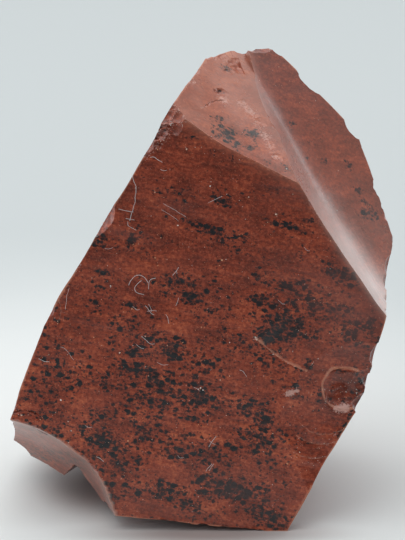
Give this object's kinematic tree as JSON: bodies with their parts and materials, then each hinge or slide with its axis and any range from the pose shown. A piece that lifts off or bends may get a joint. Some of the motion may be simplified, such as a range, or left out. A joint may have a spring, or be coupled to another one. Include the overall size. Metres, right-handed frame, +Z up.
{
  "type": "rough mahogany obsidian stone",
  "caption": "Rough piece of mahogany obsidian: red-brown volcanic glass with black specks, a broad flat face, a curved trough down one side, sharp edges and a flat to rest on.",
  "frame": {"origin": "middle of the footprint's bounding box, on the surface that the stone rests on", "axes": "+Z up, the stone's longest extent; the broad flat face looks along -Y, leaning back by 10 degrees; +X towards the trough"},
  "size_m": [0.0512, 0.0376, 0.0569],
  "materials": {
    "obsidian": "red-brown volcanic glass with black specks, satin to glossy on fresh fracture faces"
  },
  "bodies": {
    "root": {"stone": "obsidian"}
  },
  "joints": []
}
